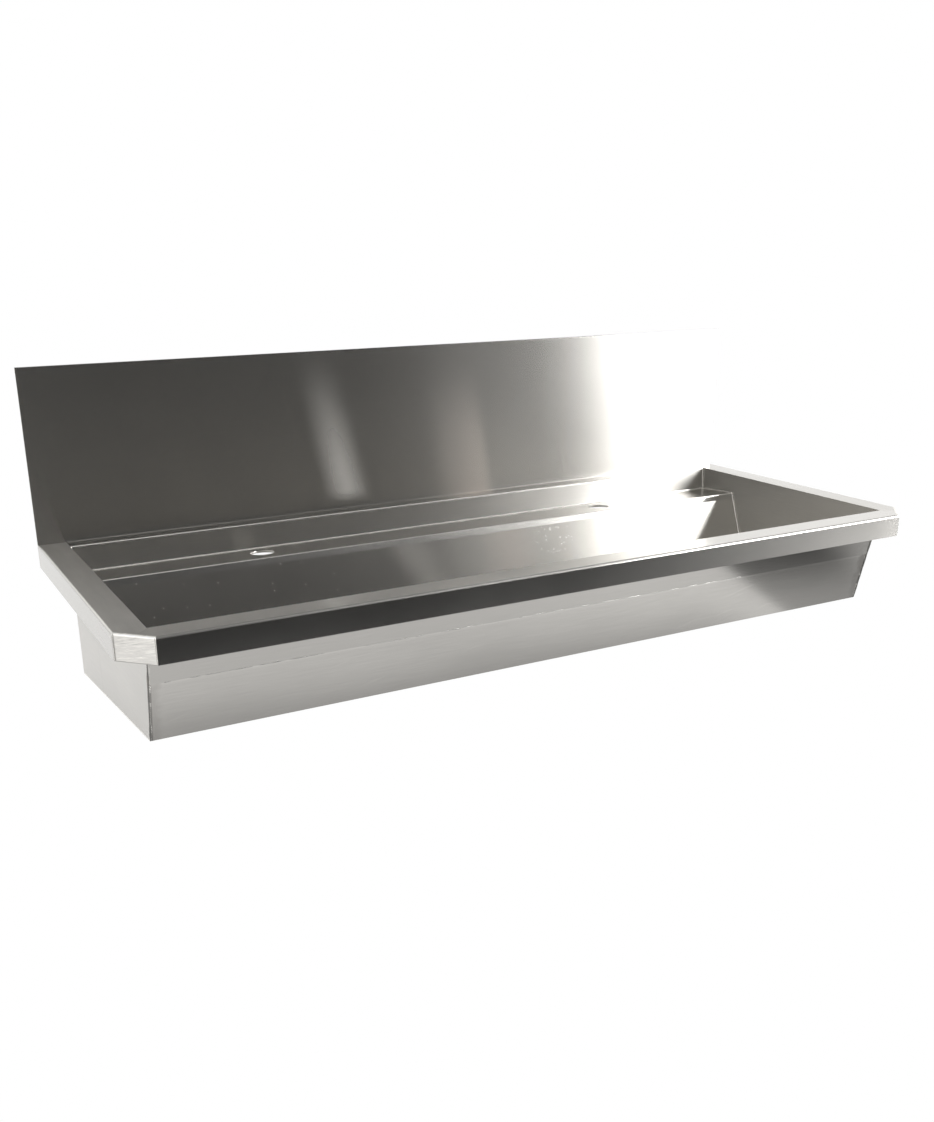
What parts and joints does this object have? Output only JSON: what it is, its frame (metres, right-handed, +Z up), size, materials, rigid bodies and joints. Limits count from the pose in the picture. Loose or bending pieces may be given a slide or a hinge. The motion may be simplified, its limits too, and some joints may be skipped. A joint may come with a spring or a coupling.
{
  "type": "trough sink",
  "caption": "Wall-hung stainless wash trough with a tap ledge, high splashback, sloping back, downturned rim and cut front corners.",
  "frame": {"origin": "on the wall plane, in the middle of the four wall-fixing holes, 100 mm below the top of the deck", "axes": "+X along the trough to the right as seen from the front, +Y into the wall, +Z up"},
  "size_m": [1.2, 0.47, 0.4573],
  "materials": {
    "satin_sheet": "satin rolled stainless sheet with a fine grain along the trough",
    "satin_rim": "satin stainless, brushed along the rim, polished bend lines",
    "linished_corner": "belt-linished plate with coarse crossing scratches",
    "satin_end": "pale satin stainless with faint heat marks",
    "plain_steel": "mill-finish stainless",
    "bracket_steel": "mill-finish stainless plate with welded joints",
    "fastener_steel": "bright stainless fasteners",
    "polished_steel": "polished stainless pressing",
    "black_rubber": "black moulded rubber",
    "brass": "turned brass",
    "bitumen_pad": "self-adhesive sound-deadening pad"
  },
  "bodies": {
    "root": {"splashback": "satin_sheet", "tap_ledge": "satin_sheet", "sloping_back": "satin_sheet", "bowl_floor": "satin_sheet", "front_wall": "satin_sheet", "front_rim": "satin_rim", "left_rim": "satin_rim", "right_rim": "satin_rim", "left_corner_plate": "linished_corner", "right_corner_plate": "linished_corner", "left_end": "satin_end", "right_end": "satin_end", "left_tap_plate": "plain_steel", "right_tap_plate": "plain_steel", "rear_rail": "plain_steel", "left_bracket": "bracket_steel", "right_bracket": "bracket_steel", "ledge_studs": "fastener_steel", "ledge_washers": "fastener_steel", "ledge_nuts": "fastener_steel", "wall_buffers": "black_rubber", "buffer_studs": "fastener_steel", "buffer_nuts": "fastener_steel", "waste_strainer": "polished_steel", "waste_screw": "polished_steel", "upper_seal": "black_rubber", "lower_seal": "black_rubber", "waste_body": "brass", "left_damping_pad": "bitumen_pad", "right_damping_pad": "bitumen_pad", "earth_bolt": "brass", "earth_washers": "brass", "earth_nut": "brass"}
  },
  "joints": []
}
